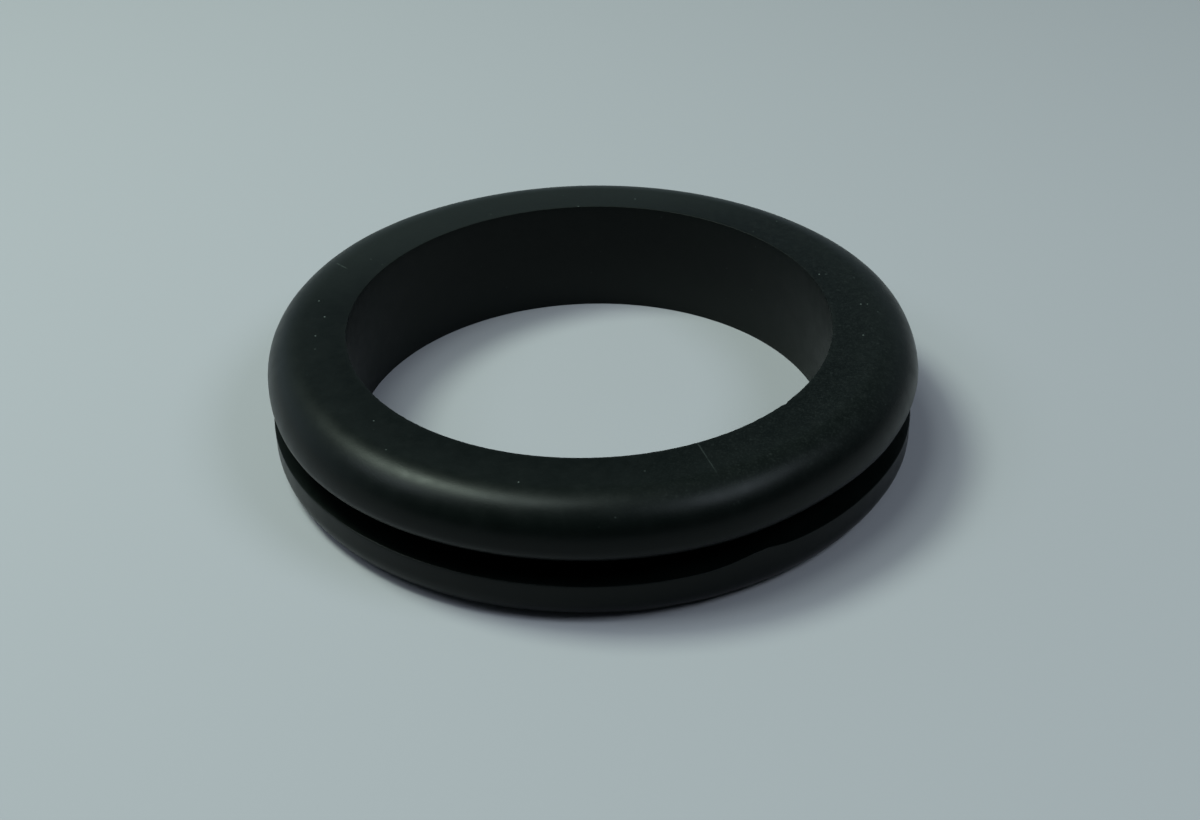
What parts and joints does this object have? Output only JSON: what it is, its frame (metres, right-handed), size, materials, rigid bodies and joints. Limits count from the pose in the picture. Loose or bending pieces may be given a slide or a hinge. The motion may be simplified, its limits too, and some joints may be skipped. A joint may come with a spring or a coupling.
{
  "type": "rubber float grommet",
  "caption": "Black rubber ring grommet with a wide plain bore, a broad round-shouldered upper flange, a narrow panel groove and a straight-sided lower flange.",
  "frame": {"origin": "centre of the underside of the lower flange, on the axis of the bore", "axes": "+Z along the bore from the lower flange to the round-shouldered upper flange; +X is any radius, and the raised wave in the lower lip lies 61.5 degrees clockwise of +X seen from above"},
  "size_m": [0.06, 0.06, 0.0115],
  "materials": {
    "black_rubber": "soft satin moulded rubber, charcoal black, with a faint dusty bloom on the top face"
  },
  "bodies": {
    "root": {"grommet": "black_rubber"}
  },
  "joints": []
}
